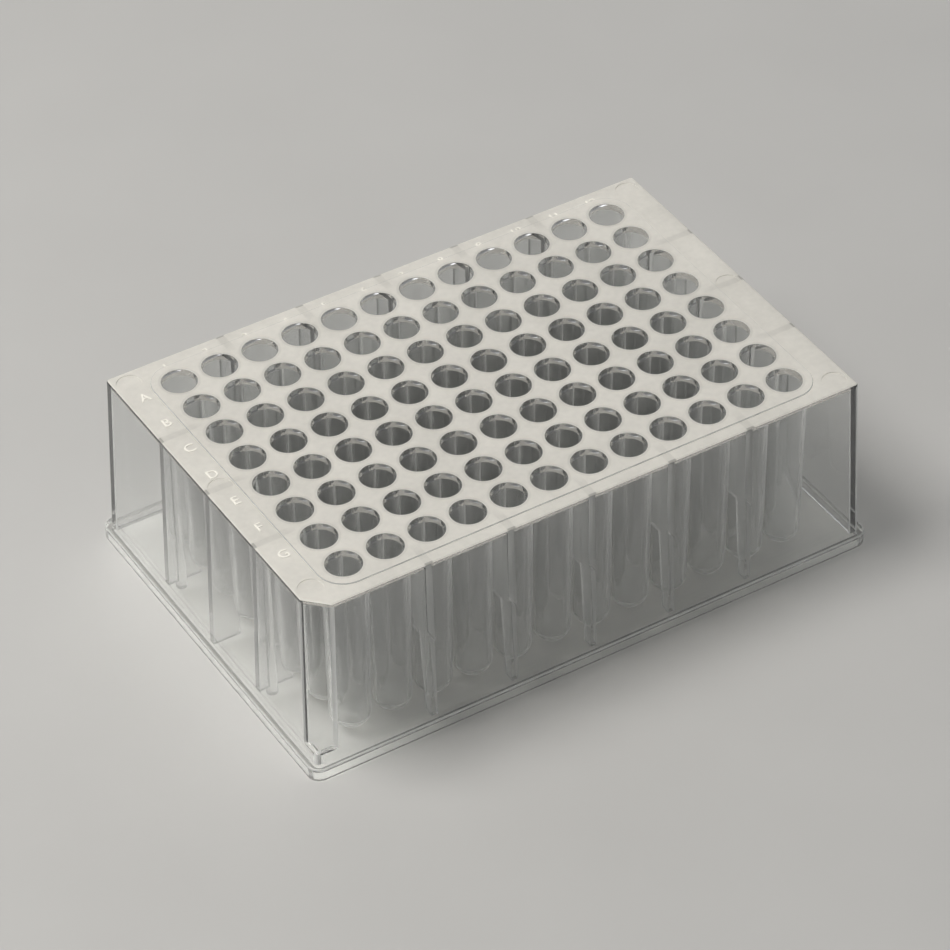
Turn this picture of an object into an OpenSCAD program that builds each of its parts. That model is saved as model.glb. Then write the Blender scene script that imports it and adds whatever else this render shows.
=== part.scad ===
// A 96-well deep-well plate: one clear moulding, with its origin at the centre of the footprint's
// underside, +X along the rows from column 1 to column 12, +Y towards row A and +Z up.

/* [Footprint] */
// outside length of the base flange
footprint_length = 127.76; // [120:0.01:160]
// outside width of the base flange
footprint_width = 85.48; // [80:0.01:110]
// height from the underside of the flange to the sealing face
plate_height = 40.6; // [30:0.1:60]
// height of the flange's skirt, up to its ledge
flange_height = 3.0; // [2:0.1:6]
// radius of the flange's corners seen from above
flange_corner_radius = 2.6; // [1:0.1:6]
// rounding along the flange's outer edges
flange_edge_radius = 0.3; // [0.1:0.05:1]
// thickness of the skirt below the ledge
skirt_thickness = 1.3; // [0.8:0.1:2.5]
// thickness of the ledge that joins the skirt to the walls
ledge_thickness = 1.2; // [0.8:0.1:2.5]

/* [Walls and deck] */
// width of the ledge beyond the foot of each short wall
end_ledge_width = 1.5; // [1:0.1:4]
// width of the ledge beyond the foot of each long wall
side_ledge_width = 1.65; // [1:0.05:4]
// how far each wall leans in between the ledge and the deck
wall_draft = 1.1; // [0.2:0.1:2]
// thickness of the four walls
wall_thickness = 1.4; // [0.8:0.1:2.5]
// thickness of the deck outside the sealing face
deck_thickness = 1.4; // [0.8:0.1:3]
// radius of the upright outer edges
wall_corner_radius = 0.8; // [0.8:0.1:3]
// rounding where the walls turn into the deck
deck_edge_radius = 0.55; // [0.2:0.05:0.7]
// length of the flat cut across the orientation corner, along each wall
corner_cut = 4.4; // [2:0.1:6]
// height above the base of the small ledge under the orientation corner
corner_ledge_height = 5.6; // [4:0.1:12]

/* [Sealing face] */
// distance from the outer wells' axes to the edge of the raised face, and so its corners' radius
seal_margin = 5.6; // [4.6:0.1:6]
// height of the sealing face above the deck's margin
seal_rise = 0.25; // [0.1:0.05:0.6]
// rounding of the sealing face's edge
seal_edge_radius = 0.12; // [0.05:0.01:0.2]

/* [Wells] */
// number of columns of wells
column_count = 12; // [6:1:12]
// number of rows of wells
row_count = 8; // [4:1:8]
// distance between the axes of neighbouring wells
well_pitch = 9.0; // [7.5:0.1:9]
// inside diameter of a well at its mouth
mouth_diameter = 7.06; // [4:0.01:7.5]
// inside diameter of a well where its round floor starts
floor_diameter = 6.0; // [3:0.1:7]
// how much larger the round floor's radius is than the well's there, which leaves a fine crease
floor_radius_extra = 0.12; // [0.02:0.01:0.5]
// rounding of the mouth's rim
mouth_radius = 0.1; // [0.05:0.05:0.6]
// thickness of a tube's wall under the deck
tube_top_wall = 0.62; // [0.4:0.01:0.9]
// thickness of a tube's wall at its round end
tube_end_wall = 0.76; // [0.4:0.01:1]
// gap between the tubes' round ends and the surface that the plate stands on
tube_end_gap = 0.6; // [0.5:0.1:5]

/* [Long-wall ribs] */
// number of columns between one long-wall rib and the next
columns_per_rib = 2; // [1:1:4]
// thickness of the ribs where they reach the tubes
rib_thickness = 1.7; // [1:0.1:2]
// thickness of the narrow lower fins
fin_thickness = 1.3; // [0.8:0.1:2]
// height above the base at which a rib steps back to its lower fin
rib_step_height = 20.7; // [10:0.1:30]
// depth of the lower fin at the step, from the wall's inner face
fin_depth_top = 3.6; // [1:0.1:5]
// depth of the lower fin at its foot
fin_depth_foot = 2.35; // [0.5:0.05:4]
// height above the base of the fin's foot
fin_foot_height = 2.1; // [2:0.1:6]

/* [Short-wall ribs] */
// number of rows between one short-wall rib and the next
rows_per_rib = 2; // [1:1:4]
// thickness of the short-wall ribs
end_rib_thickness = 1.5; // [0.8:0.1:2]
// height above the base of the middle rib's foot
middle_foot_height = 2.2; // [2:0.1:6]
// distance from the middle rib's step to the axes of the nearest tubes
middle_step_distance = 5.4; // [4.5:0.1:8]
// height above the base to which the middle rib steps up there
middle_step_height = 6.9; // [4:0.1:20]
// height above the base of the middle rib's inner end, to which its lower edge slopes down
middle_inner_height = 3.4; // [2:0.1:20]
// height above the base of the outer ribs' feet
outer_foot_height = 4.0; // [2:0.1:8]
// distance from the outer ribs' step to the axes of the nearest tubes
outer_step_distance = 4.0; // [3:0.1:8]
// height above the base to which the outer ribs step up there
outer_step_height = 5.5; // [3:0.1:12]
// height above the base of the outer ribs' inner ends
outer_inner_height = 4.0; // [2:0.1:12]
// diameter of the round ejector post on each outer rib, at its lower end
post_diameter = 2.4; // [1.5:0.1:4]
// diameter to which a post narrows at the deck
post_top_diameter = 1.8; // [1:0.1:4]
// distance from a post's axis to the axes of the nearest tubes
post_distance = 8.3; // [6:0.1:10]
// height above the base of the posts' lower ends
post_end_height = 1.9; // [1:0.1:4]

/* [Ejector marks] */
// diameter of the shallow round marks on the deck's margin
mark_diameter = 5.0; // [2:0.1:6]
// depth of the marks
mark_depth = 0.15; // [0.05:0.05:0.4]
// distance from the deck's long edges to the centres of the marks near them
mark_inset = 3.5; // [2.5:0.1:20]
// gap between the marks and the deck's short edges
mark_edge_gap = 0.9; // [0.1:0.1:1.5]
// distance that the mark by the orientation corner is moved away from it
mark_shift = 2.7; // [0:0.1:6]

/* [Hidden] */
clear_polymer = [0.80, 0.81, 0.79, 0.6];
frosted_polymer = [0.86, 0.86, 0.83];
arc_steps = 6;
edge_steps = 5;
round_fn = 72;
overlap = 0.5;
past = 1.0;
inner_corner_radius = 0.5;

deck_z = plate_height - seal_rise;
foot_half = [footprint_length / 2 - end_ledge_width, footprint_width / 2 - side_ledge_width];
first_axis = [(column_count - 1) / 2 * well_pitch, (row_count - 1) / 2 * well_pitch];
floor_radius = floor_diameter / 2;
mouth_inner_radius = mouth_diameter / 2;
// the rim's rounding leaves this much of the deck between neighbouring mouths
least_land = 0.1;
rim_radius = min(mouth_radius, (well_pitch - mouth_diameter - least_land) / 2);
floor_curve_radius = floor_radius + floor_radius_extra;
tube_end_radius = floor_curve_radius + tube_end_wall;
tube_top_radius = mouth_inner_radius + tube_top_wall;
tube_round_z = tube_end_gap + tube_end_radius;
floor_edge_z = tube_round_z - sqrt(pow(floor_curve_radius, 2) - pow(floor_radius, 2));
recess_z = flange_height - ledge_thickness;
diagonal_inset = 2 - sqrt(2);
deck_half = [for (h = foot_half) h - wall_draft];
mark_half = [deck_half[0] - mark_diameter / 2 - mark_edge_gap, deck_half[1] - mark_inset];
seal_half = [for (a = first_axis) a + seal_margin];
rib_in_deck_z = deck_z - deck_thickness / 2;
rib_reach = 0.7;

// half sizes of the walls' outer faces at a height
function wall_half(z) =
    [for (h = foot_half) h - wall_draft * (z - flange_height) / (deck_z - flange_height)];

// a convex outline, given anticlockwise, with its corners rounded
function edge_angle(points, k) =
    let (n = len(points), a = points[k % n], b = points[(k + 1) % n]) atan2(b[1] - a[1], b[0] - a[0]);
function turn(points, k) =
    let (n = len(points), t = edge_angle(points, k) - edge_angle(points, (k + n - 1) % n))
    t < 0 ? t + 360 : t;
function rounded(points, radius, steps) = [
    for (k = [0 : len(points) - 1])
        let (in_angle = edge_angle(points, (k + len(points) - 1) % len(points)), bend = turn(points, k),
             middle = in_angle + bend / 2 + 90,
             centre = points[k] + radius / cos(bend / 2) * [cos(middle), sin(middle)])
        for (s = [0 : steps])
            let (a = in_angle - 90 + bend * s / steps) centre + radius * [cos(a), sin(a)]
];

// a rectangle with half sizes h, and a cut of length cut across its corner at low X and low Y
function plan(h, cut) = cut > 0
    ? [[cut - h[0], -h[1]], [h[0], -h[1]], [h[0], h[1]], [-h[0], h[1]], [-h[0], cut - h[1]]]
    : [[-h[0], -h[1]], [h[0], -h[1]], [h[0], h[1]], [-h[0], h[1]]];
function ring(h, cut, radius, inset, z) =
    let (c = cut > 0 ? cut - diagonal_inset * inset : 0)
    [for (p = rounded(plan([h[0] - inset, h[1] - inset], c), radius, arc_steps)) [p[0], p[1], z]];

// a closed skin over rings of equal length, from the lowest up
module loft(rings) {
    n = len(rings[0]);
    points = [for (r = rings) for (p = r) p];
    sides = [for (k = [0 : len(rings) - 2]) for (i = [0 : n - 1])
        let (a = k * n + i, b = k * n + (i + 1) % n) each [[a, a + n, b], [b, a + n, b + n]]];
    low_face = [for (i = [0 : n - 1]) i];
    high_face = [for (i = [0 : n - 1]) len(rings) * n - 1 - i];
    polyhedron(points = points, faces = concat([low_face, high_face], sides), convexity = 4);
}

// the solid inside the walls' outer faces, from one height to another
module wall_block(low, high, cut) {
    loft([for (z = [low, high]) ring(wall_half(z), cut, wall_corner_radius, 0, z)]);
}

module wall_block_to_deck(low, cut) {
    start = deck_z - deck_edge_radius;
    edge = [for (s = [1 : edge_steps]) 90 * s / edge_steps];
    rounding = [for (a = edge) [deck_edge_radius * (1 - cos(a)), start + deck_edge_radius * sin(a)]];
    loft(concat(
        [for (z = [low, start]) ring(wall_half(z), cut, wall_corner_radius, 0, z)],
        [for (e = rounding) ring(wall_half(start), cut, wall_corner_radius - e[0], e[0], e[1])]
    ));
}

// the hollow inside the walls, from one height to another
module wall_hollow(low, high, cut) {
    loft([for (z = [low, high]) ring(wall_half(z), cut, inner_corner_radius, wall_thickness, z)]);
}

module flange_block() {
    half = [footprint_length / 2, footprint_width / 2];
    edge = [for (s = [0 : edge_steps]) 90 * s / edge_steps];
    r = flange_edge_radius;
    rise = [for (a = edge) [r * (1 - sin(a)), r * (1 - cos(a))]];
    fall = [for (a = edge) [r * (1 - cos(a)), flange_height - r + r * sin(a)]];
    loft([for (e = concat(rise, fall)) ring(half, 0, flange_corner_radius - e[0], e[0], e[1])]);
}

module flange_recess() {
    half = [footprint_length / 2, footprint_width / 2];
    radius = max(flange_corner_radius - skirt_thickness, inner_corner_radius);
    loft([for (z = [-past, recess_z]) ring(half, 0, radius, skirt_thickness, z)]);
}

module shell() {
    corner_roof = corner_ledge_height - ledge_thickness;
    color(clear_polymer) difference() {
        union() {
            flange_block();
            wall_block(recess_z, corner_ledge_height, 0);
            wall_block_to_deck(corner_ledge_height, corner_cut);
        }
        flange_recess();
        wall_hollow(recess_z - past, corner_roof, 0);
        wall_hollow(corner_roof - past, deck_z - deck_thickness, corner_cut);
    }
}

module seal_face() {
    edge = [for (s = [0 : edge_steps]) 90 * s / edge_steps];
    r = seal_edge_radius;
    rounding = [for (a = edge) [r * (1 - cos(a)), plate_height - r + r * sin(a)]];
    color(frosted_polymer)
        loft(concat(
            [ring(seal_half, 0, seal_margin, 0, rib_in_deck_z)],
            [for (e = rounding) ring(seal_half, 0, seal_margin - e[0], e[0], e[1])]
        ));
}

module at_wells() {
    for (column = [0 : column_count - 1])
        for (row = [0 : row_count - 1])
            translate([column * well_pitch - first_axis[0], first_axis[1] - row * well_pitch, 0]) children();
}

// half of a round-ended taper: a disc's part under the taper's low end, with a trapezium on it
module round_ended_profile(end_radius, low_radius, low_z, top_radius, top_z) {
    intersection() {
        translate([0, tube_round_z]) circle(r = end_radius, $fn = round_fn);
        translate([0, low_z - 2 * end_radius]) square([2 * end_radius, 2 * end_radius]);
    }
    polygon([[0, low_z], [low_radius, low_z], [top_radius, top_z], [0, top_z]]);
}

module tube() {
    color(clear_polymer) rotate_extrude($fn = round_fn)
        round_ended_profile(tube_end_radius, tube_end_radius, tube_round_z, tube_top_radius, rib_in_deck_z);
}

// what a well takes out: the taper with its round floor, and the flare of its rim
module well() {
    rim_z = plate_height - rim_radius;
    rotate_extrude($fn = round_fn) {
        round_ended_profile(floor_curve_radius, floor_radius, floor_edge_z, mouth_inner_radius, rim_z);
        difference() {
            translate([0, rim_z]) square([mouth_inner_radius + rim_radius, rim_radius + past]);
            translate([mouth_inner_radius + rim_radius, rim_z]) circle(r = rim_radius, $fn = round_fn);
        }
    }
}

// a plate of the given thickness whose outline is drawn as [distance along +X, height]
module upright(thickness) {
    rotate([90, 0, 0]) translate([0, 0, -thickness / 2]) linear_extrude(height = thickness) children();
}

// the outlines below run from beside the nearest tubes' axes out into the middle of the wall
function wall_inside(side, z) = wall_half(z)[side] - wall_thickness;
function in_wall(side, z) = [wall_half(z)[side] - wall_thickness / 2, z];

module long_wall_rib() {
    start = first_axis[1] + rib_reach;
    fin_edge = wall_inside(1, rib_step_height) - fin_depth_top;
    fin_foot = wall_inside(1, fin_foot_height) - fin_depth_foot;
    fin_end = rib_step_height + overlap;
    color(clear_polymer) {
        upright(rib_thickness)
            polygon([[start, rib_step_height], in_wall(1, rib_step_height), in_wall(1, rib_in_deck_z),
                [start, rib_in_deck_z]]);
        upright(fin_thickness)
            polygon([[fin_foot, fin_foot_height], in_wall(1, fin_foot_height), in_wall(1, fin_end),
                [fin_edge, fin_end], [fin_edge, rib_step_height]]);
    }
}

module short_wall_rib(foot_z, step_distance, step_z, inner_z) {
    start = first_axis[0] + rib_reach;
    step = first_axis[0] + step_distance;
    color(clear_polymer) upright(end_rib_thickness)
        polygon([[step, foot_z], in_wall(0, foot_z), in_wall(0, rib_in_deck_z), [start, rib_in_deck_z],
            [start, inner_z], [step, step_z]]);
}

module middle_short_rib() {
    short_wall_rib(middle_foot_height, middle_step_distance, middle_step_height, middle_inner_height);
}

module outer_short_rib() {
    post_height = rib_in_deck_z - post_end_height;
    short_wall_rib(outer_foot_height, outer_step_distance, outer_step_height, outer_inner_height);
    color(clear_polymer) translate([first_axis[0] + post_distance, 0, post_end_height])
        cylinder(d1 = post_diameter, d2 = post_top_diameter, h = post_height, $fn = round_fn);
}

module long_wall_ribs() {
    for (column = [columns_per_rib : columns_per_rib : column_count - 1])
        for (side = [-90, 90])
            translate([column * well_pitch - first_axis[0] - well_pitch / 2, 0, 0])
                rotate([0, 0, side]) long_wall_rib();
}

module short_wall_ribs() {
    for (row = [rows_per_rib : rows_per_rib : row_count - 1])
        for (side = [0, 180]) {
            y = first_axis[1] + well_pitch / 2 - row * well_pitch;
            translate([0, y, 0]) rotate([0, 0, side]) {
                if (abs(y) < well_pitch / 2) middle_short_rib();
                else outer_short_rib();
            }
        }
}

module ejector_marks() {
    for (x = [-1, 1])
        for (y = [-1, 0, 1]) {
            shift = x < 0 && y < 0 ? mark_shift : 0;
            translate([x * mark_half[0], y * mark_half[1] + shift, deck_z - mark_depth])
                cylinder(d = mark_diameter, h = mark_depth + past, $fn = round_fn);
        }
}

module plate() {
    difference() {
        union() {
            shell();
            seal_face();
            at_wells() tube();
            long_wall_ribs();
            short_wall_ribs();
        }
        at_wells() well();
        ejector_marks();
    }
}

plate();
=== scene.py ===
"""A clear deep-well plate with a frosted deck, on a plain studio floor.

The whole plate is one moulding. Its closed surface is worked out here from the same sizes as its construction,
with finer roundings than the construction needs, and moulded row letters and column numbers lie on its deck.
"""

import functools
import math
import operator

import bpy
import numpy as np
from mathutils import Matrix, Vector


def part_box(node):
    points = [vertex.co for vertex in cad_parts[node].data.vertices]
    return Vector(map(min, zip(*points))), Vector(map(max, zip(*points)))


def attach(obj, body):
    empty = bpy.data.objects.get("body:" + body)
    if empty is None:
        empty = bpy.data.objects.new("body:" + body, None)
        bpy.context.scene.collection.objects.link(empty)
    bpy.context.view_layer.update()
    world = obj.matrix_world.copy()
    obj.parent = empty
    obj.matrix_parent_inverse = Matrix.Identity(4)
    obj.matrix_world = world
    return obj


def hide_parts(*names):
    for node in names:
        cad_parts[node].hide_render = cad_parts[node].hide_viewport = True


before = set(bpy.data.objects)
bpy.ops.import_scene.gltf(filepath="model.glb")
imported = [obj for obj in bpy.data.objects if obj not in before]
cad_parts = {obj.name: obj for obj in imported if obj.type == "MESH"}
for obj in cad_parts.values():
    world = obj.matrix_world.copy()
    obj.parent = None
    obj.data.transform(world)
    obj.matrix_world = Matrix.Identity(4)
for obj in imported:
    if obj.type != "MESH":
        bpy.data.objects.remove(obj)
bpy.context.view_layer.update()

bl_info = {
    "name": "Deep-Well Plate",
    "version": (1, 0, 0),
    "blender": (4, 5, 0),
    "location": "View3D > Sidebar > Well Plate",
    "description": "Builds a clear deep-well plate with a frosted deck and its studio stage",
    "category": "Object",
}

MM = 0.001
NODE = "plate"
BODY = "root"
HIGH = np.array(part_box(NODE)[1]) / MM


# ---------------------------------------------------------------- sizes and colours


def length(name, description, default, **more):
    """A size in millimetres, shown as a plain number."""
    return bpy.props.FloatProperty(name=name, description=description + ", in mm", default=default, **more)


def colour(name, description, default):
    """A colour whose parts run from 0 to 1."""
    return bpy.props.FloatVectorProperty(
        name=name, description=description, default=default, size=3, min=0, max=1, subtype="COLOR"
    )


def share(name, description, default):
    """A share from 0 to 1, shown as a slider."""
    return bpy.props.FloatProperty(name=name, description=description, default=default, min=0, max=1, subtype="FACTOR")


def rotation(name, description, degrees):
    """An angle given in degrees."""
    return bpy.props.FloatProperty(
        name=name, description=description, default=math.radians(degrees), unit="ROTATION"
    )


def wattage(name, description, default):
    """A light's strength in watts."""
    return bpy.props.FloatProperty(name=name, description=description, default=default, unit="POWER")


class WellPlateShell(bpy.types.PropertyGroup):
    """Sizes of the flange, the walls and the deck."""

    skirt_height: length("Skirt height", "Height of the flange's skirt up to its ledge", 3.0)
    skirt_thickness: length("Skirt thickness", "Thickness of the skirt", 1.3)
    ledge_thickness: length("Ledge thickness", "Thickness of the ledge that joins the skirt to the walls", 1.2)
    flange_radius: length("Flange radius", "Radius of the flange's corners seen from above", 2.6)
    flange_edge: length("Flange edge", "Rounding of the flange's outer edges", 0.3)
    end_ledge: length("End ledge", "Width of the ledge beyond the short walls", 1.5)
    side_ledge: length("Side ledge", "Width of the ledge beyond the long walls", 1.65)
    draft: length("Draft", "How far each wall leans in up to the deck", 1.1)
    wall: length("Wall", "Thickness of the walls", 1.4)
    deck: length("Deck", "Thickness of the deck", 1.4)
    corner_radius: length("Corner radius", "Radius of the upright outer edges", 0.8)
    inner_radius: length("Inner radius", "Radius of the upright inner edges", 0.5)
    deck_edge: length("Deck edge", "Rounding where the walls turn into the deck", 0.55)
    # the edge band is where the painted shade of the ribs on the deck is darkest
    edge_band: length("Edge band", "Width of the band along the deck's outline where the ribs show most", 0.75)
    corner_cut: length("Corner cut", "Length of the cut orientation corner along each wall", 4.4)
    corner_ledge: length("Corner ledge", "Height above the base of the ledge under the cut corner", 5.6)


class WellPlateWells(bpy.types.PropertyGroup):
    """Sizes of the wells, their tubes and the raised face round their mouths."""

    columns: bpy.props.IntProperty(name="Columns", description="Number of columns of wells", default=12, min=1)
    rows: bpy.props.IntProperty(name="Rows", description="Number of rows of wells", default=8, min=1)
    pitch: length("Pitch", "Distance between neighbouring wells' axes", 9.0)
    mouth_radius: length("Mouth radius", "Inside radius of a well at its mouth", 3.53)
    floor_radius: length("Floor radius", "Inside radius of a well where its round floor starts", 3.0)
    floor_extra: length("Floor extra", "How much larger the round floor's radius is, which leaves a fine crease", 0.12)
    rim: length("Rim", "Rounding of the mouth's rim", 0.1)
    tube_top_radius: length("Tube radius at the deck", "Outside radius of a tube under the deck", 4.15)
    tube_end_radius: length("Tube radius at its end", "Outside radius of a tube's round end", 3.88)
    tube_gap: length("Tube gap", "Height of the tubes' round ends above the base", 0.6)
    seal_margin: length("Seal margin", "Distance from the outer wells' axes to the raised face's edge", 5.6)
    seal_rise: length("Seal rise", "Height of the raised face above the deck's margin", 0.25)
    seal_edge: length("Seal edge", "Rounding of the raised face's edge", 0.12)
    segments: bpy.props.IntProperty(name="Segments", description="Sides of each round tube", default=40, min=12)


class WellPlateRibs(bpy.types.PropertyGroup):
    """Sizes of the ribs, the ejector posts and the ejector marks."""

    every: bpy.props.IntProperty(name="Every", description="Wells from one rib to the next", default=2, min=1)
    thickness: length("Thickness", "Thickness of the long walls' ribs", 1.7)
    fin_thickness: length("Fin thickness", "Thickness of the narrow lower fins", 1.3)
    end_thickness: length("End thickness", "Thickness of the short walls' ribs", 1.5)
    edge: length("Edge", "Rounding of the ribs' free edges", 0.15)
    reach: length("Reach", "Distance from the ribs' inner ends to the nearest tubes' axes", 0.7)
    step: length("Step height", "Height above the base at which a long-wall rib steps back to its fin", 20.7)
    fin_depth_top: length("Fin depth", "Depth of the fin at its top, from the wall's inner face", 3.6)
    fin_depth_foot: length("Fin foot depth", "Depth of the fin at its foot", 2.35)
    fin_foot: length("Fin foot height", "Height above the base of the fin's foot", 2.1)
    middle_foot: length("Middle foot height", "Height above the base of the middle short-wall rib", 2.2)
    middle_reach: length("Middle reach", "Distance from the middle rib's step to the nearest tubes' axes", 5.4)
    middle_step: length("Middle step height", "Height to which the middle rib steps up there", 6.9)
    middle_inner: length("Middle inner height", "Height of the middle rib's inner end", 3.4)
    outer_foot: length("Outer foot height", "Height above the base of the outer short-wall ribs", 4.0)
    outer_reach: length("Outer reach", "Distance from the outer ribs' step to the nearest tubes' axes", 4.0)
    outer_step: length("Outer step height", "Height to which the outer ribs step up there", 5.5)
    outer_inner: length("Outer inner height", "Height of the outer ribs' inner ends", 4.0)
    post_radius: length("Post radius", "Radius of the ejector posts at their lower ends", 1.2)
    post_top_radius: length("Post radius at the deck", "Radius to which the posts narrow at the deck", 0.9)
    post_reach: length("Post reach", "Distance from the posts' axes to the nearest tubes' axes", 8.3)
    post_end: length("Post end", "Height above the base of the posts' lower ends", 1.9)
    mark_radius: length("Mark radius", "Radius of the ejector marks", 2.5)
    mark_depth: length("Mark depth", "Depth of the ejector marks", 0.15)
    mark_inset: length("Mark inset", "Distance from the deck's long edges to the marks near them", 3.5)
    mark_gap: length("Mark gap", "Gap between the marks and the deck's short edges", 0.9)
    mark_edge: length("Mark edge", "Rounding round the floors of the marks", 0.06)
    mark_shift: length("Mark shift", "How far the mark beside the cut corner is moved away from it", 2.7)


class WellPlateLabels(bpy.types.PropertyGroup):
    """Sizes of the moulded letters and numbers."""

    letter_size: length("Letter size", "Height of a letter", 2.3)
    number_size: length("Number size", "Height of a number", 1.84)
    rise: length("Rise", "How far the labels stand above the deck's margin", 0.12)
    sink: length("Sink", "How far the labels reach into the deck", 0.04)
    letter_reach: length("Letter reach", "Distance from the letters' centres to the first column's axes", 7.9)
    letter_shift: length("Letter shift", "Distance of the letters' centres below their rows' axes", 0.5)
    number_reach: length("Number reach", "Distance from the numbers' centres to row A's axes", 5.55)


class WellPlateFinish(bpy.types.PropertyGroup):
    """Colours and finish of the moulding."""

    polymer: colour("Polymer", "Tint of the clear polymer", (0.90, 0.905, 0.90))
    # the next two paint a highlight on the rounded outer edges: a pale scattering share and its colour
    painted_edge_highlight: share("Edge glow", "Share of the rounded outer edges that looks pale", 0.5)
    edge_highlight_colour: colour("Edge colour", "Colour of the pale edges", (0.93, 0.93, 0.91))
    milky_shade: colour("Milky shade", "What a tube's skin lets through from lamps", (0.72, 0.72, 0.71))
    haze: share("Haze", "Share of the walls' surface that scatters light", 0.03)
    milk: share("Milk", "Share of the tubes' and ribs' surface that scatters light", 0.09)
    milky_rim: share("Milky rim", "How much more of it does so at glancing angles", 0.6)
    haze_colour: colour("Haze colour", "Colour of the scattered light", (0.92, 0.92, 0.91))
    deck: colour("Deck", "Colour of the frosted deck", (0.93, 0.90, 0.83))
    # the next three paint shade on the deck where the tubes and ribs stand under it
    rings: share("Rings", "How far the tubes darken the deck over them", 0.15)
    bars: share("Bars", "How far the ribs darken the deck over them", 0.13)
    edge_bars: share("Edge bars", "How much more they darken the deck's outer edge", 0.45)
    deck_shade: colour("Deck shade", "What the frosted deck lets through from lamps", (0.05, 0.05, 0.049))
    deck_through: share("Deck through", "Share of the deck's scattered light that comes out behind it", 0.25)
    frost: share("Frost", "Share of the deck that scatters light", 0.84)
    index: bpy.props.FloatProperty(name="Index", description="Index of refraction", default=1.59, min=1, max=2)


class WellPlateStage(bpy.types.PropertyGroup):
    """The floor, the lights and the camera."""

    floor: colour("Floor", "Colour of the floor", (0.50, 0.494, 0.482))
    key: wattage("Key", "Strength of the overhead light", 11.0)
    sides: wattage("Sides", "Strength of each side light", 3.0)
    front: wattage("Front", "Strength of the front light", 2.6)
    zenith: bpy.props.FloatProperty(name="Zenith", description="Strength of the surroundings overhead", default=0.09)
    horizon: bpy.props.FloatProperty(name="Horizon", description="Strength of the surroundings low down", default=0.46)
    azimuth: rotation("Azimuth", "Camera's turn from the front towards +X", -31.16)
    elevation: rotation("Elevation", "Camera's height angle", 40.59)
    roll: rotation("Roll", "Camera's roll", -0.93)
    distance: length("Distance", "Distance from the camera to the point it looks at", 840.6)
    aim: bpy.props.FloatVectorProperty(
        name="Aim", description="The point that the camera looks at, in mm", default=(-3.57, -2.95, 20.3), size=3
    )
    lens: length("Lens", "Focal length", 162.3)


GROUPS = {
    "well_plate_shell": WellPlateShell,
    "well_plate_wells": WellPlateWells,
    "well_plate_ribs": WellPlateRibs,
    "well_plate_labels": WellPlateLabels,
    "well_plate_finish": WellPlateFinish,
    "well_plate_stage": WellPlateStage,
}


# ---------------------------------------------------------------- shader maths


class Signal:
    """A socket whose arithmetic adds Math nodes to its tree."""

    def __init__(self, tree, socket):
        self.tree, self.socket = tree, socket

    def _math(self, operation, first, second):
        """A Math node's result for two values or signals."""
        return self.tree.make("ShaderNodeMath", {"operation": operation}, {0: first, 1: second})

    def __add__(self, other):
        return self._math("ADD", self, other)

    __radd__ = __add__

    def __mul__(self, other):
        return self._math("MULTIPLY", self, other)

    __rmul__ = __mul__

    def __sub__(self, other):
        return self._math("SUBTRACT", self, other)

    def __rsub__(self, other):
        return self._math("SUBTRACT", other, self)

    def fold(self, width):
        """Distance from the nearest even multiple of a width: a triangle wave."""
        return self._math("PINGPONG", self, width)

    def size(self):
        """The value without its sign."""
        return self._math("ABSOLUTE", self, 0.0)

    def root(self):
        """The square root."""
        return self._math("SQRT", self, 0.0)


class Shader:
    """A material's or the surroundings' node tree, with one method that makes any node."""

    def __init__(self, name, owner=None):
        """Takes a world as its owner, or else makes a material."""
        self.owner = owner or bpy.data.materials.new(name)
        self.owner.use_nodes = True
        self.tree = self.owner.node_tree
        self.tree.nodes.clear()

    def make(self, kind, settings=None, inputs=None, output=0):
        """A node of a kind, its settings set first, then its sockets' values or links; gives an output."""
        node = self.tree.nodes.new(kind)
        for name, value in (settings or {}).items():
            setattr(node, name, value)
        for name, value in (inputs or {}).items():
            if isinstance(value, Signal):
                self.tree.links.new(value.socket, node.inputs[name])
            else:
                node.inputs[name].default_value = value
        return Signal(self, node.outputs[output])

    def place(self):
        """Object coordinates, in metres."""
        return self.make("ShaderNodeTexCoord", output="Object")

    def across(self, axis):
        """Object coordinate along an axis, in millimetres."""
        return self.make("ShaderNodeSeparateXYZ", {}, {0: self.place()}, output=axis) * (1 / MM)

    def noise(self, size, detail=2.0, roughness=0.5, drawn=1.0):
        """Noise from 0 to 1 whose features are about size millimetres across, and drawn out that much upwards."""
        place = self.make("ShaderNodeMapping", {}, {"Vector": self.place(), "Scale": (1.0, 1.0, 1 / drawn)})
        return self.make(
            "ShaderNodeTexNoise",
            {},
            {"Vector": place, "Scale": 1 / (size * MM), "Detail": detail, "Roughness": roughness},
        )

    def glancing(self, exponent):
        """0 where a skin is seen face on, up to 1 where it is seen edge on."""
        edge_on = self.make("ShaderNodeLayerWeight", {}, {"Blend": 0.5}, output=1)
        return self.make("ShaderNodeMath", {"operation": "POWER"}, {0: edge_on, 1: exponent})

    def ramp(self, signal, low, high):
        """0 below low, 1 above high and a straight line between."""
        return self.make("ShaderNodeMapRange", {}, {"Value": signal, "From Min": low, "From Max": high})

    def blend(self, factor, first, second):
        """Mixes two colours."""
        return self.make(
            "ShaderNodeMix", {"data_type": "RGBA"}, {0: factor, 6: as_rgba(first), 7: as_rgba(second)}, output=2
        )

    def bump(self, height, depth, strength=1.0):
        """Normals for a height from 0 to 1 that stands for depth millimetres."""
        return self.make("ShaderNodeBump", {}, {"Strength": strength, "Distance": depth * MM, "Height": height})

    def mix(self, factor, first, second):
        """Mixes two shaders."""
        return self.make("ShaderNodeMixShader", {}, {0: factor, 1: first, 2: second})

    def lamps_pass(self, surface, tint):
        """Lets light from lamps through the surface, tinted, so that what stands inside is lit."""
        ray = self.make("ShaderNodeLightPath", output="Is Shadow Ray")
        return self.mix(ray, surface, self.make("ShaderNodeBsdfTransparent", {}, {"Color": as_rgba(tint)}))

    def finish(self, surface, kind="ShaderNodeOutputMaterial"):
        """Links the surface to the output, and gives the material or world."""
        node = self.tree.nodes.new(kind)
        self.tree.links.new(surface.socket, node.inputs["Surface"])
        return self.owner


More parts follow.
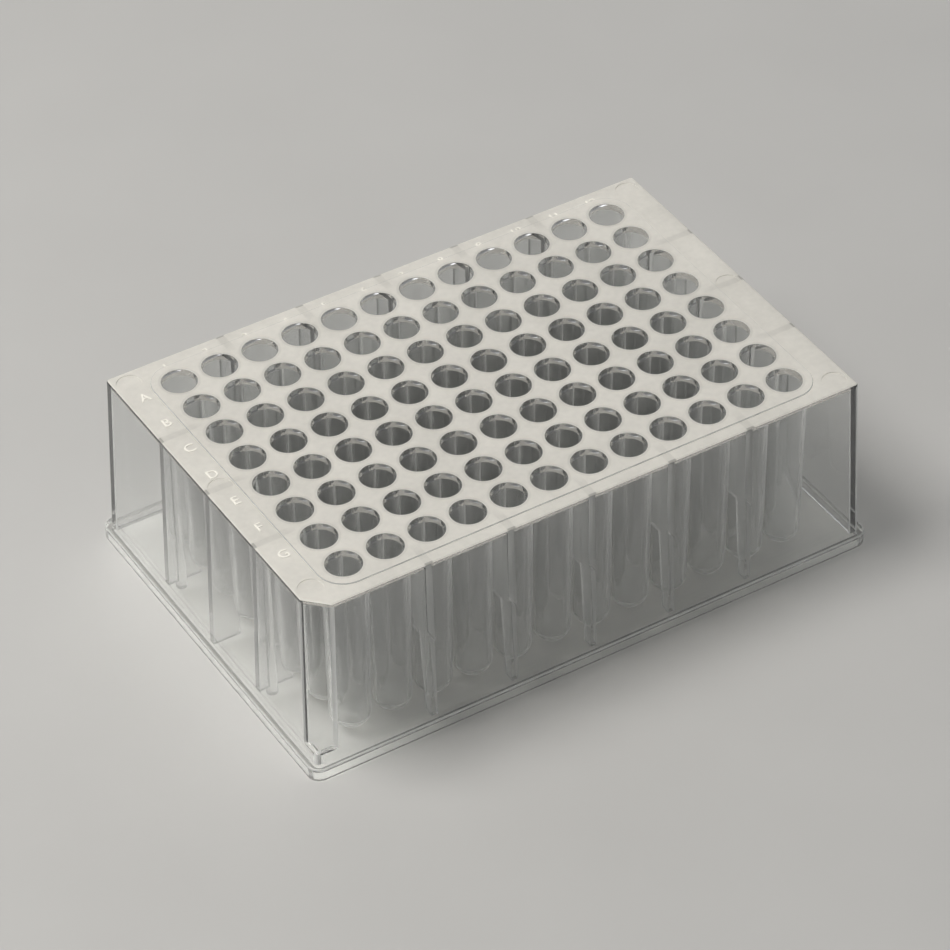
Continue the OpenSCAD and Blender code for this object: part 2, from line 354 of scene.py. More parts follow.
def as_rgba(value):
    """A signal as it is, or a colour with a full alpha."""
    return value if isinstance(value, Signal) else (*value[:3], 1.0)


def polymer(s, finish, roughness, normal=None):
    """The moulding's plastic: glass of its index and tint."""
    sockets = {
        "Base Color": as_rgba(finish.polymer),
        "Roughness": roughness,
        "IOR": finish.index,
        "Transmission Weight": 1.0,
    }
    if normal is not None:
        sockets["Normal"] = normal
    return s.make("ShaderNodeBsdfPrincipled", {}, sockets)


def scattering(s, tone, roughness, through, normal=None):
    """Plastic that scatters light: a share of what falls on it comes out behind it."""
    sockets = {"Normal": normal} if normal is not None else {}
    back = s.make("ShaderNodeBsdfPrincipled", {}, {"Base Color": as_rgba(tone), "Roughness": roughness, **sockets})
    ahead = s.make("ShaderNodeBsdfTranslucent", {}, {"Color": as_rgba(tone), **sockets})
    return s.mix(through, back, ahead)


def clear_material(finish):
    """Clear polymer: glass with a faint tint, a light haze and slow waves in its surface."""
    s = Shader("Clear polymer")
    waves = s.bump(s.noise(9.0, 1.0), 0.02, 0.3)
    glass = polymer(s, finish, s.ramp(s.noise(4.0, 3.0), 0.2, 0.9) * 0.04 + 0.01, waves)
    haze = scattering(s, finish.haze_colour, 0.35, 0.5)
    return s.finish(s.lamps_pass(s.mix(finish.haze, glass, haze), finish.polymer))


def milky_material(finish):
    """The tubes' and ribs' skin: less well polished, with streaks drawn upwards, and milkier at glancing angles."""
    s = Shader("Milky polymer")
    streaks = s.noise(0.8, 2.0, 0.5, 14.0)
    glass = polymer(s, finish, s.ramp(streaks, 0.3, 0.8) * 0.08 + 0.04, s.bump(streaks, 0.02, 0.3))
    haze = scattering(s, finish.haze_colour, 0.4, 0.5)
    milk = finish.milk * (0.6 + 0.8 * s.ramp(streaks, 0.3, 0.7)) + finish.milky_rim * s.glancing(3.0)
    return s.finish(s.lamps_pass(s.mix(milk, glass, haze), finish.milky_shade))


def painted_highlight_material(finish):
    """The rounded outer edges: a pale scattering share mixed into the glass, a painted highlight that stands in for the
    light running inside the walls.
    """
    s = Shader("Edge polymer")
    drawn = s.noise(2.5, 2.0)
    glass = polymer(s, finish, s.ramp(drawn, 0.3, 0.8) * 0.05 + 0.02)
    # the pale glow is a painted highlight
    glow = scattering(s, finish.edge_highlight_colour, 0.25, 0.35)
    return s.finish(s.lamps_pass(s.mix(finish.painted_edge_highlight, glass, glow), finish.polymer))


def painted_show_through_shade(s, finish):
    """Painted shade on the deck where what stands under it darkens it: rings over the tubes, and bars over the ribs."""
    scene = bpy.context.scene
    shell, wells, ribs = scene.well_plate_shell, scene.well_plate_wells, scene.well_plate_ribs
    place = s.across(0), s.across(1)
    away = [value.size() for value in place]
    half, soft = wells.pitch / 2, 0.15
    inner = first_axes(wells)
    edge = wall_half(shell, deck_top()) - shell.edge_band
    dx, dy = [half - value.fold(half) for value in place]
    rings = 1 - s.ramp((dx * dx + dy * dy).root(), wells.tube_top_radius - soft, wells.tube_top_radius + soft)
    bars = 0
    for side, other, thickness in ((0, 1, ribs.thickness), (1, 0, ribs.end_thickness)):
        reach = inner[other] + half
        rings = rings * (1 - s.ramp(away[side], inner[side] + half, inner[side] + half + soft))
        bar = 1 - s.ramp(place[side].fold(ribs.every * half), thickness / 2 - soft, thickness / 2 + soft)
        bar = bar * (1 - s.ramp(away[side], inner[side] - half, inner[side] - half + soft))
        bar = bar * s.ramp(away[other], reach - 2, reach)
        bars = bars + bar * (finish.bars + finish.edge_bars * s.ramp(away[other], edge[other], edge[other] + soft))
    return finish.rings * rings + bars


# shares of the deck's colour: in its dull clouds, in the painted shade where something stands right under it, and on
# the raised labels
DULL, SHADED, RAISED = 0.86, 0.2, 1.03


def frosted_material(finish):
    """The deck's spark-eroded face: a fine matt grain over clear polymer, with painted shade where the tubes and ribs
    stand under it.
    """
    s = Shader("Frosted polymer")
    grain = s.noise(0.12, 2.0, 0.6)
    clouds = s.ramp(s.noise(11.0, 3.0), 0.35, 0.65) * 0.5 + s.ramp(s.noise(1.2, 2.0), 0.3, 0.7) * 0.5
    pale, dull = tuple(finish.deck), tuple(DULL * c for c in finish.deck)
    matt = s.bump(grain, 0.02, 0.5)
    # painted shade: the deck's colour darkens towards the SHADED share over the tubes and ribs
    tone = s.blend(painted_show_through_shade(s, finish), s.blend(clouds, pale, dull), tuple(SHADED * c for c in finish.deck))
    skin = scattering(s, tone, 0.5 + 0.12 * grain, finish.deck_through, matt)
    glass = polymer(s, finish, 0.45 + 0.1 * grain, matt)
    return s.finish(s.lamps_pass(s.mix(finish.frost, glass, skin), finish.deck_shade))


def label_material(finish):
    """The moulded labels: the deck's plastic, a little paler and smoother because it is raised."""
    s = Shader("Raised labels")
    grain = s.noise(0.12, 2.0, 0.6)
    pale = tuple(RAISED * c for c in finish.deck)
    tone = s.blend(s.ramp(grain, 0.3, 0.7), pale, tuple(finish.deck))
    skin = scattering(s, tone, 0.5 + 0.1 * grain, 0.06, s.bump(grain, 0.01, 0.3))
    return s.finish(s.lamps_pass(skin, finish.deck_shade))


def floor_material(stage):
    """A plain pale tabletop with a barely visible unevenness."""
    s = Shader("Pale floor")
    tone = s.ramp(s.noise(40.0, 3.0), 0.3, 0.7)
    darker = tuple(0.97 * c for c in stage.floor)
    surface = s.make(
        "ShaderNodeBsdfPrincipled",
        {},
        {"Base Color": s.blend(tone, darker, tuple(stage.floor)), "Roughness": 0.55},
    )
    return s.finish(surface)


# ---------------------------------------------------------------- surfaces

# the fourth finish is the pale one that paints a highlight on rounded edges
CLEAR, FROSTED, MILKY, PAINTED_HIGHLIGHT = range(4)

# steps of the arcs seen from above, of the outer edges, of small roundings, and of the tubes' and wells' round ends
CORNER_STEPS, EDGE_STEPS, FINE_STEPS, TUBE_END_STEPS, WELL_FLOOR_STEPS = 10, 8, 3, 10, 9
FROSTED_BANDS = 4
POST_SEGMENTS, MARK_SEGMENTS = 32, 48
LEAST_RADIUS = 0.02

# how far parts reach into the deck that they join, and how far a cut starts outside what it cuts, in mm
INTO_DECK = 0.5
BEYOND = 1.0

# about one minus the cosine of 45 degrees: how far an arc's middle lies inside its corner
ARC_MIDDLE = 0.3


class Solid:
    """A closed surface: points in millimetres, faces as lists of point numbers, and each face's finish."""

    def __init__(self, points, faces, finishes):
        self.points, self.faces = np.asarray(points, float), faces
        self.finishes = finishes if isinstance(finishes, list) else [finishes] * len(faces)

    def at(self, places):
        """The same surface repeated: each copy's points are its place plus the points."""
        places = np.asarray(places, float)
        count = len(self.points)
        points = (self.points[None] + places[:, None]).reshape(-1, 3)
        faces = [[v + k * count for v in face] for k in range(len(places)) for face in self.faces]
        return Solid(points, faces, self.finishes * len(places))

    def turned(self, angle):
        """The surface turned about the Z axis: (x cos a - y sin a, x sin a + y cos a, z)."""
        c, s = math.cos(angle), math.sin(angle)
        return Solid(self.points @ np.array([[c, s, 0], [-s, c, 0], [0, 0, 1]]), self.faces, self.finishes)

    def __add__(self, other):
        count = len(self.points)
        faces = self.faces + [[v + count for v in face] for face in other.faces]
        return Solid(np.vstack([self.points, other.points]), faces, self.finishes + other.finishes)


def deck_top():
    """Height of the deck's margin: the plate's height less the raised face's rise."""
    return HIGH[2] - bpy.context.scene.well_plate_wells.seal_rise


def wall_half(shell, z):
    """Half sizes of the walls' outer faces at a height: a straight lean from the ledge to the deck."""
    foot = np.array([HIGH[0] - shell.end_ledge, HIGH[1] - shell.side_ledge])
    return foot - shell.draft * (z - shell.skirt_height) / (deck_top() - shell.skirt_height)


def wall_inside(shell, side, z):
    """Distance of a wall's inner face at a height."""
    return wall_half(shell, z)[side] - shell.wall


def wall_middle(shell, side, z):
    """A point in the middle of a wall's thickness."""
    return [wall_half(shell, z)[side] - shell.wall / 2, z]


def plan(half, cut):
    """Corners of a rectangle with half sizes, anticlockwise, with its low corner cut off at 45 degrees."""
    x, y = half
    if cut <= 0:
        return np.array([[-x, -y], [x, -y], [x, y], [-x, y]])
    return np.array([[cut - x, -y], [x, -y], [x, y], [-x, y], [-x, cut - y]])


def rounded(corners, radius, steps):
    """A convex outline with an arc of the radius at each corner: centre plus radius times (cos, sin) of the angle."""
    ahead = np.roll(corners, -1, axis=0) - corners
    out = np.arctan2(ahead[:, 1], ahead[:, 0])
    into = np.roll(out, 1)
    bend = np.mod(out - into, 2 * math.pi)
    middle = into + bend / 2 + math.pi / 2
    centre = corners + (radius / np.cos(bend / 2))[:, None] * np.stack([np.cos(middle), np.sin(middle)], 1)
    angle = into[:, None] - math.pi / 2 + bend[:, None] * np.linspace(0, 1, steps + 1)
    arcs = centre[:, None, :] + radius * np.stack([np.cos(angle), np.sin(angle)], 2)
    return arcs.reshape(-1, 2)


def ring(half, cut, radius, inset, z):
    """The rounded plan of a rectangle, drawn in by an inset, at a height."""
    cut = cut - (2 - math.sqrt(2)) * inset if cut > 0 else 0
    outline = rounded(plan(np.asarray(half) - inset, cut), max(radius - inset, LEAST_RADIUS), CORNER_STEPS)
    return np.column_stack([outline, np.full(len(outline), z)])


def loft(rings, side=CLEAR, top=CLEAR, bands=0):
    """A closed surface over rings of equal length: quads between neighbours and a flat face at each end.

    The last bands of quads take the top's finish.
    """
    rings = np.array(rings)
    count, n = rings.shape[:2]
    base = np.arange(count - 1)[:, None] * n
    i = np.arange(n)
    j = (i + 1) % n
    quads = np.stack([base + i, base + j, base + n + j, base + n + i], 2).reshape(-1, 4)
    faces = [*quads.tolist(), i[::-1].tolist(), (i + (count - 1) * n).tolist()]
    finishes = [side] * (len(quads) - bands * n) + [top] * (bands * n) + [side, top]
    return Solid(rings.reshape(-1, 3), faces, finishes)


def revolve(profile, segments, finish=CLEAR, low_finish=None, bands=0):
    """A closed surface of revolution: (r, z) turned through a full circle, with its ends on the axis.

    The first bands of quads and the disc under them take the low finish.
    """
    profile = np.asarray(profile)
    angle = 2 * math.pi * np.arange(segments) / segments
    body = profile[1:-1]
    around = np.stack([np.cos(angle), np.sin(angle), np.ones(segments)], 1)
    along = np.column_stack([body[:, 0], body[:, 0], body[:, 1]])
    points = (along[:, None] * around[None]).reshape(-1, 3)
    low, high = len(points), len(points) + 1
    points = np.vstack([points, [[0, 0, profile[0, 1]], [0, 0, profile[-1, 1]]]])
    i = np.arange(segments)
    j = (i + 1) % segments
    base = np.arange(len(body) - 1)[:, None] * segments
    quads = np.stack([base + i, base + j, base + segments + j, base + segments + i], 2).reshape(-1, 4)
    last = (len(body) - 1) * segments
    below = np.stack([j, i, np.full(segments, low)], 1)
    above = np.stack([last + i, last + j, np.full(segments, high)], 1)
    finishes = [finish] * (len(quads) + 2 * segments)
    if low_finish is not None:
        finishes[: bands * segments] = [low_finish] * (bands * segments)
        finishes[len(quads) : len(quads) + segments] = [low_finish] * segments
    return Solid(points, [*quads.tolist(), *below.tolist(), *above.tolist()], finishes)


def upright(outline, thickness, edge):
    """A plate that stands along +X: an anticlockwise (x, z) outline lofted through its thickness, with rounded rims."""
    outline = np.asarray(outline, float)
    ahead = np.roll(outline, -1, axis=0) - outline
    ahead /= np.linalg.norm(ahead, axis=1)[:, None]
    behind = np.roll(ahead, 1, axis=0)
    inward = np.stack([-ahead[:, 1] - behind[:, 1], ahead[:, 0] + behind[:, 0]], 1)
    inward /= 1 + np.sum(ahead * behind, 1)[:, None]
    rise, back = quarter(FINE_STEPS)
    inset = np.concatenate([edge * (1 - rise), edge * (1 - rise[::-1])])
    depth = thickness / 2 - edge * back
    depth = np.concatenate([-depth, depth[::-1]])
    flat = outline[None] + inset[:, None, None] * inward[None]
    rings = np.stack([flat[:, :, 0], np.repeat(depth[:, None], len(outline), 1), flat[:, :, 1]], 2)
    solid = loft(rings)
    return Solid(solid.points, [face[::-1] for face in solid.faces], MILKY)


def quarter(steps):
    """Sine and one minus cosine over a quarter turn."""
    angle = np.linspace(0, math.pi / 2, steps + 1)
    return np.sin(angle), 1 - np.cos(angle)


def flange_surface(shell):
    """The flange: a rounded plan whose inset follows a quarter circle at both edges."""
    rise, back = quarter(EDGE_STEPS)
    r = shell.flange_edge
    low = [(r * (1 - s), r * c) for s, c in zip(rise, back)]
    high = [(inset, shell.skirt_height - z) for inset, z in reversed(low)]
    solid = loft([ring(HIGH[:2], 0, shell.flange_radius, e, z) for e, z in low + high])
    count = (len(solid.finishes) - 2) // (len(low + high) - 1)
    rounded_bands = [True] * (len(low) - 1) + [False] + [True] * (len(high) - 1)
    # the flange's rounded edges take the pale finish, a painted highlight
    solid.finishes = [PAINTED_HIGHLIGHT if band else CLEAR for band in rounded_bands for _ in range(count)] + [CLEAR, CLEAR]
    return solid


def flange_hollow(shell):
    """What is taken out under the flange: its plan drawn in by the skirt's thickness, up to the ledge."""
    top = shell.skirt_height - shell.ledge_thickness
    return loft([ring(HIGH[:2], 0, shell.flange_radius, shell.skirt_thickness, z) for z in (-BEYOND, top)])


def wall_surface(shell, low, cut):
    """The walls' outer faces from a height to the deck, and a quarter circle into it, frosted over its upper part."""
    top = deck_top()
    start = top - shell.deck_edge
    rise, back = quarter(EDGE_STEPS)
    half = wall_half(shell, start)
    rings = [ring(wall_half(shell, low), cut, shell.corner_radius, 0, low)]
    r = shell.deck_edge
    rings += [ring(half, cut, shell.corner_radius, r * c, start + r * s) for s, c in zip(rise, back)]
    return painted_highlight_corners(loft(rings, CLEAR, FROSTED, FROSTED_BANDS), len(rings[0]))


def painted_highlight_corners(solid, count):
    """Gives the rounded corners in a loft's lowest band the pale edges' finish, which paints a highlight on them."""
    solid.finishes[:count] = [CLEAR if i % (CORNER_STEPS + 1) == CORNER_STEPS else PAINTED_HIGHLIGHT for i in range(count)]
    return solid


def block(shell, low, high, cut, radius, inset):
    """The solid inside the walls' faces, drawn in by an inset, between two heights."""
    rings = [ring(wall_half(shell, z), cut, radius + inset, inset, z) for z in (low, high)]
    return painted_highlight_corners(loft(rings), len(rings[0]))


def seal_surface(wells):
    """The raised face round the wells, with a small quarter circle at its edge."""
    rise, back = quarter(FINE_STEPS)
    r = wells.seal_edge
    half = first_axes(wells) + wells.seal_margin
    rings = [ring(half, 0, wells.seal_margin, 0, deck_top() - INTO_DECK)]
    rings += [ring(half, 0, wells.seal_margin, r * c, HIGH[2] - r + r * s) for s, c in zip(rise, back)]
    # the raised face's edge takes the pale finish: a painted highlight, half glass and half pale
    return loft(rings, PAINTED_HIGHLIGHT, FROSTED)


def first_axes(wells):
    """Distances of the outer wells' axes from the centre."""
    return np.array([wells.columns - 1, wells.rows - 1]) * wells.pitch / 2


def well_places(wells):
    """Axes of the wells, row by row."""
    axes = first_axes(wells)
    x = np.arange(wells.columns) * wells.pitch - axes[0]
    y = np.arange(wells.rows) * wells.pitch - axes[1]
    grid = np.stack(np.meshgrid(x, y), 2).reshape(-1, 2)
    return np.column_stack([grid, np.zeros(len(grid))])


def round_end(radius, z, steps, last=0.0):
    """Profile of a sphere under a height, from the axis out to an angle: (r cos a, z + r sin a)."""
    angle = np.linspace(-math.pi / 2, last, steps + 1)
    profile = np.column_stack([radius * np.cos(angle), z + radius * np.sin(angle)])
    profile[0, 0] = 0
    return profile


def tube_surface(wells):
    """A tube's outside: a half sphere and a straight taper up into the deck, turned round its axis."""
    z = wells.tube_gap + wells.tube_end_radius
    top = deck_top() - INTO_DECK
    profile = np.vstack([round_end(wells.tube_end_radius, z, TUBE_END_STEPS), [[wells.tube_top_radius, top], [0, top]]])
    return revolve(profile, wells.segments, MILKY)


def well_surface(wells):
    """A well's inside: a sphere up to the crease, a straight taper to the rim and a quarter circle out over it."""
    z = wells.tube_gap + wells.tube_end_radius
    curve = wells.floor_radius + wells.floor_extra
    floor = round_end(curve, z, WELL_FLOOR_STEPS, -math.acos(wells.floor_radius / curve))
    rise, back = quarter(FINE_STEPS)
    r = wells.rim
    rim = np.column_stack([wells.mouth_radius + r * back, HIGH[2] - r + r * rise])
    above = [[wells.mouth_radius + r, HIGH[2] + BEYOND], [0, HIGH[2] + BEYOND]]
    return revolve(np.vstack([floor, rim, above]), wells.segments, CLEAR, MILKY, len(floor) - 2)


def long_wall_rib(shell, wells, ribs):
    """A long wall's rib, as a wide upper plate and a thinner, tapering lower fin, drawn out along +X."""
    start = first_axes(wells)[1] + ribs.reach
    top = deck_top() - INTO_DECK
    edge = wall_inside(shell, 1, ribs.step) - ribs.fin_depth_top
    foot = wall_inside(shell, 1, ribs.fin_foot) - ribs.fin_depth_foot
    over = ribs.step + INTO_DECK
    wide = [[start, ribs.step], wall_middle(shell, 1, ribs.step), wall_middle(shell, 1, top), [start, top]]
    fin = [
        [foot, ribs.fin_foot],
        wall_middle(shell, 1, ribs.fin_foot),
        wall_middle(shell, 1, over),
        [edge, over],
        [edge, ribs.step],
    ]
    return upright(wide, ribs.thickness, ribs.edge), upright(fin, ribs.fin_thickness, ribs.edge)


def short_wall_rib(shell, wells, ribs, foot, reach, step, inner):
    """A short wall's rib: a level foot, a step up, and a lower edge that slopes down towards the tubes."""
    start, back = first_axes(wells)[0] + ribs.reach, first_axes(wells)[0] + reach
    top = deck_top() - INTO_DECK
    outline = [
        [back, foot],
        wall_middle(shell, 0, foot),
        wall_middle(shell, 0, top),
        [start, top],
        [start, inner],
        [back, step],
    ]
    return upright(outline, ribs.end_thickness, ribs.edge)


def post_surface(wells, ribs):
    """An ejector post: a round taper with a small chamfer round its lower end."""
    top = deck_top() - INTO_DECK
    profile = [
        [0, ribs.post_end],
        [ribs.post_radius - ribs.edge, ribs.post_end],
        [ribs.post_radius, ribs.post_end + ribs.edge],
        [ribs.post_top_radius, top],
        [0, top],
    ]
    return revolve(profile, POST_SEGMENTS, MILKY).at([[first_axes(wells)[0] + ribs.post_reach, 0, 0]])


def rib_offsets(count, every, pitch):
    """Places of the ribs along a wall: between wells, one for each group of wells."""
    return (np.arange(every, count, every) - count / 2) * pitch


def rib_surfaces(shell, wells, ribs):
    """All ribs, fins and posts, as three sets in which no surface meets another."""
    wide, fin = long_wall_rib(shell, wells, ribs)
    middle = short_wall_rib(
        shell, wells, ribs, ribs.middle_foot, ribs.middle_reach, ribs.middle_step, ribs.middle_inner
    )
    outer = short_wall_rib(shell, wells, ribs, ribs.outer_foot, ribs.outer_reach, ribs.outer_step, ribs.outer_inner)
    post = post_surface(wells, ribs)
    along = [[x, 0, 0] for x in rib_offsets(wells.columns, ribs.every, wells.pitch)]
    across = [[0, y, 0] for y in rib_offsets(wells.rows, ribs.every, wells.pitch)]
    centre = [place for place in across if abs(place[1]) < wells.pitch / 2]
    beside = [place for place in across if place not in centre]

    def both_ways(solid, places, angle):
        """Copies that face one way and the opposite way."""
        return solid.turned(angle).at(places) + solid.turned(angle + math.pi).at(places)

    plates = both_ways(wide, along, math.pi / 2) + both_ways(middle, centre, 0) + both_ways(outer, beside, 0)
    return plates, both_ways(fin, along, math.pi / 2), both_ways(post, beside, 0)


def mark_places(shell, ribs):
    """Centres of the ejector marks: three along each short edge, one of them moved away from the cut corner."""
    x, y = wall_half(shell, deck_top()) - [ribs.mark_radius + ribs.mark_gap, ribs.mark_inset]
    places = np.array([[sx * x, sy * y, 0] for sx in (-1, 1) for sy in (-1, 0, 1)])
    places[0, 1] += ribs.mark_shift
    return places


def mark_surfaces(shell, ribs):
    """What the ejector marks take out: shallow discs with a rounded edge round their floors."""
    top = deck_top()
    edge, low = ribs.mark_edge, top - ribs.mark_depth
    profile = [
        [0, low],
        [ribs.mark_radius - edge, low],
        [ribs.mark_radius - ARC_MIDDLE * edge, low + ARC_MIDDLE * edge],
        [ribs.mark_radius, low + edge],
        [ribs.mark_radius, top + BEYOND],
        [0, top + BEYOND],
    ]
    return revolve(profile, MARK_SEGMENTS, FROSTED).at(mark_places(shell, ribs))


# ---------------------------------------------------------------- meshes

SHARP_ANGLE = math.radians(13)
CAP_HEIGHT = 0.7  # a capital's height as a share of the font's size


def new_object(name, solid, materials=()):
    """An object at the origin from a surface in millimetres."""
    mesh = bpy.data.meshes.new(name)
    mesh.from_pydata((solid.points * MM).tolist(), [], solid.faces)
    for material in materials:
        mesh.materials.append(material)
    mesh.polygons.foreach_set("material_index", np.array(solid.finishes, np.int32))
    mesh.update()
    obj = bpy.data.objects.new(name, mesh)
    bpy.context.scene.collection.objects.link(obj)
    return obj


def combined(obj, solid, operation):
    """Joins a solid to an object's, or takes it out; every face keeps its finish."""
    other = new_object("Tool", solid, obj.data.materials)
    modifier = obj.modifiers.new("Boolean", "BOOLEAN")
    modifier.operation = operation
    modifier.solver = "MANIFOLD"
    modifier.object = other
    depsgraph = bpy.context.evaluated_depsgraph_get()
    mesh = bpy.data.meshes.new_from_object(obj.evaluated_get(depsgraph))
    obj.modifiers.clear()
    old, obj.data = obj.data, mesh
    bpy.data.meshes.remove(old)
    taken = other.data
    bpy.data.objects.remove(other)
    bpy.data.meshes.remove(taken)
    if not len(mesh.polygons):
        raise RuntimeError(f"the {operation.lower()} left nothing")


class WELLPLATE_OT_moulding(bpy.types.Operator):
    """Make the plate's one-piece moulding in clear polymer with a frosted deck"""

    bl_idname = "wellplate.moulding"
    bl_label = "Moulding"

    def execute(self, context):
        scene = context.scene
        shell, wells, ribs = scene.well_plate_shell, scene.well_plate_wells, scene.well_plate_ribs
        base = shell.skirt_height - shell.ledge_thickness
        roof = shell.corner_ledge - shell.ledge_thickness
        under = deck_top() - shell.deck
        places = well_places(wells)
        makers = (clear_material, frosted_material, milky_material, painted_highlight_material)
        materials = [make(scene.well_plate_finish) for make in makers]
        body = new_object("moulding", wall_surface(shell, shell.corner_ledge, shell.corner_cut), materials)
        for operation, solid in (
            ("UNION", block(shell, base, shell.corner_ledge, 0, shell.corner_radius, 0)),
            ("UNION", flange_surface(shell)),
            ("DIFFERENCE", flange_hollow(shell)),
            ("DIFFERENCE", block(shell, base - BEYOND, roof, 0, shell.inner_radius, shell.wall)),
            ("DIFFERENCE", block(shell, roof - BEYOND, under, shell.corner_cut, shell.inner_radius, shell.wall)),
            ("UNION", seal_surface(wells)),
            ("UNION", tube_surface(wells).at(places)),
            *[("UNION", solid) for solid in rib_surfaces(shell, wells, ribs)],
            ("DIFFERENCE", well_surface(wells).at(places)),
            ("DIFFERENCE", mark_surfaces(shell, ribs)),
        ):
            combined(body, solid, operation)
        body.data.shade_smooth()
        body.data.set_sharp_from_angle(angle=SHARP_ANGLE)
        weighted = body.modifiers.new("Even normals", "WEIGHTED_NORMAL")
        weighted.mode = "FACE_AREA"
        weighted.weight = 50
        weighted.keep_sharp = True
        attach(body, BODY)
        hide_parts(NODE)
        return {"FINISHED"}


def label_mesh(name, words, size, thickness):
    """Plain characters as one surface: each character's outline filled, given its thickness and welded shut."""
    parts = []
    for word, place in words:
        curve = bpy.data.curves.new(name, "FONT")
        curve.body = word
        curve.size = size * MM / CAP_HEIGHT
        curve.extrude = thickness * MM / 2
        curve.resolution_u = 3
        obj = bpy.data.objects.new(name, curve)
        bpy.context.scene.collection.objects.link(obj)
        mesh = bpy.data.meshes.new_from_object(obj.evaluated_get(bpy.context.evaluated_depsgraph_get()))
        points = np.empty(len(mesh.vertices) * 3, np.float32)
        mesh.vertices.foreach_get("co", points)
        points = points.reshape(-1, 3) / MM
        middle = (points.min(0) + points.max(0)) / 2
        points, same = np.unique(np.round(points - middle + place, 4), axis=0, return_inverse=True)
        same = same.ravel()
        parts.append(Solid(points, [same[list(p.vertices)].tolist() for p in mesh.polygons], 0))
        bpy.data.objects.remove(obj)
        bpy.data.curves.remove(curve)
        bpy.data.meshes.remove(mesh)
    return functools.reduce(operator.add, parts)


class WELLPLATE_OT_labels(bpy.types.Operator):
    """Make the moulded row letters and column numbers on the deck's margin"""

    bl_idname = "wellplate.labels"
    bl_label = "Labels"

    def execute(self, context):
        scene = context.scene
        shell, wells, labels = scene.well_plate_shell, scene.well_plate_wells, scene.well_plate_labels
        thickness = labels.rise + labels.sink
        z = deck_top() + (labels.rise - labels.sink) / 2
        x, y = first_axes(wells)
        letters = [
            (chr(ord("A") + k), (-x - labels.letter_reach, y - k * wells.pitch - labels.letter_shift, z))
            for k in range(wells.rows)
        ]
        numbers = [(str(k + 1), (k * wells.pitch - x, y + labels.number_reach, z)) for k in range(wells.columns)]
        marks = mark_places(shell, scene.well_plate_ribs)[:, :2]
        clear_of = scene.well_plate_ribs.mark_radius
        # a label whose place falls on an ejector mark is left out
        letters = [item for item in letters if np.linalg.norm(marks - item[1][:2], axis=1).min() > clear_of]
        material = label_material(scene.well_plate_finish)
        for name, words, size in (
            ("row_letters", letters, labels.letter_size),
            ("column_numbers", numbers, labels.number_size),
        ):
            piece = new_object(name, label_mesh(name, words, size, thickness), [material])
            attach(piece, BODY)
        return {"FINISHED"}


# ---------------------------------------------------------------- stage


FLOOR_REACH = 3000.0
CLIP_END = 20.0
SENSOR_WIDTH = 36.0
WARM, COOL = (1.0, 0.985, 0.95), (0.97, 0.98, 1.0)
LIT_POINT = np.array([0, 0, 0.02])

# each light's name, its place in metres, its size in metres, the setting that holds its strength, and its tint
LIGHTS = (
    ("Overhead light", (-0.43, 0.22, 0.99), 0.5, "key", WARM),
    ("Left light", (-1.5, 0.5, 0.45), 0.9, "sides", COOL),
    ("Right light", (1.3, 0.9, 0.45), 0.9, "sides", COOL),
    ("Front light", (-0.1, -1.5, 0.5), 0.9, "front", COOL),
)


def area_light(name, place, size, strength, tint):
    """A soft square light that faces the plate."""
    light = bpy.data.lights.new(name, "AREA")
    light.size = size
    light.energy = strength
    light.color = tint
    obj = bpy.data.objects.new(name, light)
    bpy.context.scene.collection.objects.link(obj)
    obj.location = place
    obj.rotation_euler = facing(LIT_POINT - np.array(place))


def facing(direction):
    """Turns -Z towards a direction, with +Y up."""
    return Vector(direction).to_track_quat("-Z", "Y").to_euler()


def surroundings(stage):
    """A plain studio's walls: brightest low down and dimmer overhead."""
    s = Shader("Studio", bpy.data.worlds.new("Studio"))
    up = s.make("ShaderNodeSeparateXYZ", {}, {0: s.make("ShaderNodeTexCoord")}, output=2)
    level = s.ramp(up, 0.05, 0.75) * (stage.zenith - stage.horizon) + stage.horizon
    glow = s.make("ShaderNodeBackground", {}, {"Color": (0.96, 0.97, 1.0, 1.0), "Strength": level})
    return s.finish(glow, "ShaderNodeOutputWorld")


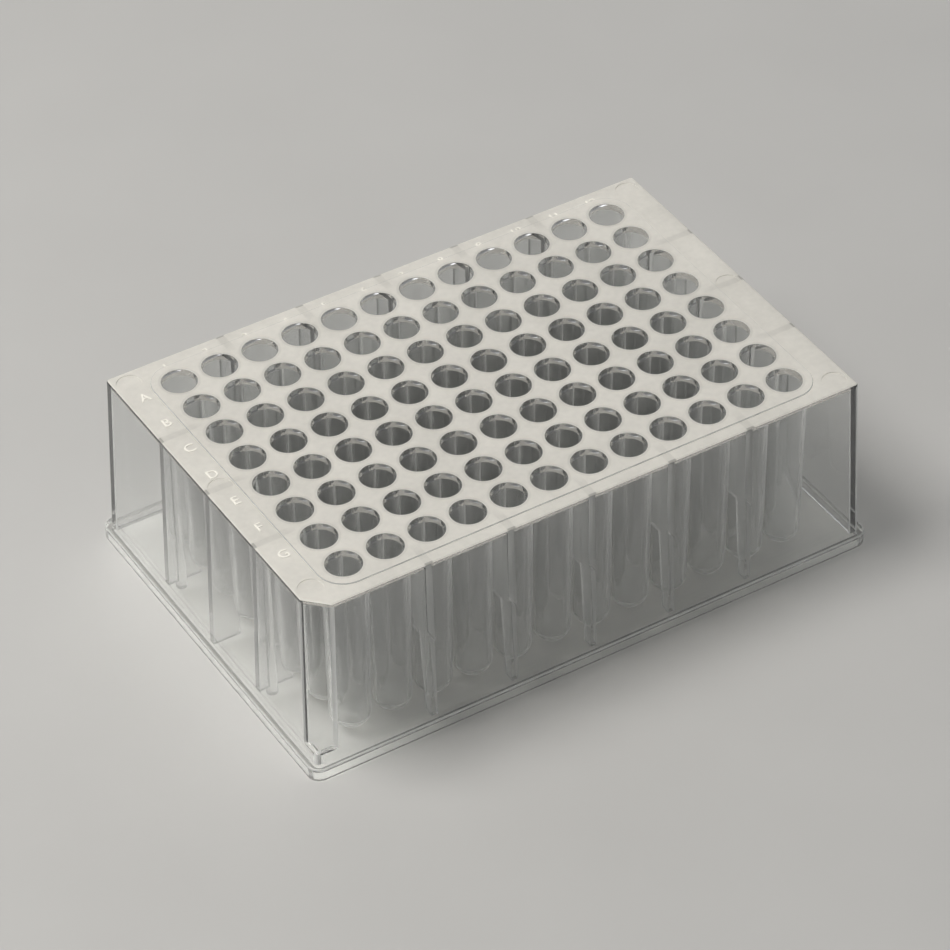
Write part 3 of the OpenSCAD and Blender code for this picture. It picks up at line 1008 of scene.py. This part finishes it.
class WELLPLATE_OT_stage(bpy.types.Operator):
    """Set the floor, the soft lights and the camera"""

    bl_idname = "wellplate.stage"
    bl_label = "Stage"

    def execute(self, context):
        scene = context.scene
        stage = scene.well_plate_stage
        square = FLOOR_REACH * np.array([[-1, -1, 0], [1, -1, 0], [1, 1, 0], [-1, 1, 0]])
        floor = new_object("floor", Solid(square, [[0, 1, 2, 3]], 0), [floor_material(stage)])
        for name, place, size, setting, tint in LIGHTS:
            area_light(name, place, size, getattr(stage, setting), tint)
        scene.world = surroundings(stage)
        scene.view_settings.view_transform = "Standard"
        camera = bpy.data.cameras.new("Camera")
        camera.lens = stage.lens
        camera.sensor_width = SENSOR_WIDTH
        camera.clip_end = CLIP_END
        view = bpy.data.objects.new("Camera", camera)
        scene.collection.objects.link(view)
        a, e = stage.azimuth, stage.elevation
        back = Vector((math.sin(a) * math.cos(e), -math.cos(a) * math.cos(e), math.sin(e)))
        turn = facing(-back).to_matrix().to_4x4() @ Matrix.Rotation(stage.roll, 4, "Z")
        view.matrix_world = Matrix.Translation((Vector(stage.aim) + back * stage.distance) * MM) @ turn
        scene.camera = view
        return {"FINISHED"}


# ---------------------------------------------------------------- panel and registration


class WELLPLATE_PT_panel(bpy.types.Panel):
    """Buttons and sizes of the plate in the 3D view's sidebar"""

    bl_label = "Well Plate"
    bl_idname = "WELLPLATE_PT_panel"
    bl_space_type = "VIEW_3D"
    bl_region_type = "UI"
    bl_category = "Well Plate"

    def draw(self, context):
        for button in OPERATORS:
            self.layout.operator(button.bl_idname)
        for attribute, group in GROUPS.items():
            box = self.layout.box()
            box.label(text=group.__doc__)
            for name in group.__annotations__:
                box.prop(getattr(context.scene, attribute), name)


OPERATORS = (WELLPLATE_OT_moulding, WELLPLATE_OT_labels, WELLPLATE_OT_stage)


def register():
    """Adds the sizes, colours, operators and panel."""
    for group in GROUPS.values():
        bpy.utils.register_class(group)
    for attribute, group in GROUPS.items():
        setattr(bpy.types.Scene, attribute, bpy.props.PointerProperty(type=group))
    for kind in (*OPERATORS, WELLPLATE_PT_panel):
        bpy.utils.register_class(kind)


def unregister():
    """Takes them away again."""
    for kind in reversed((*OPERATORS, WELLPLATE_PT_panel)):
        bpy.utils.unregister_class(kind)
    for attribute, group in GROUPS.items():
        delattr(bpy.types.Scene, attribute)
        bpy.utils.unregister_class(group)


def main():
    """Builds the stage and the plate."""
    register()
    bpy.ops.wellplate.stage()
    bpy.ops.wellplate.moulding()
    bpy.ops.wellplate.labels()


if __name__ == "__main__":
    main()
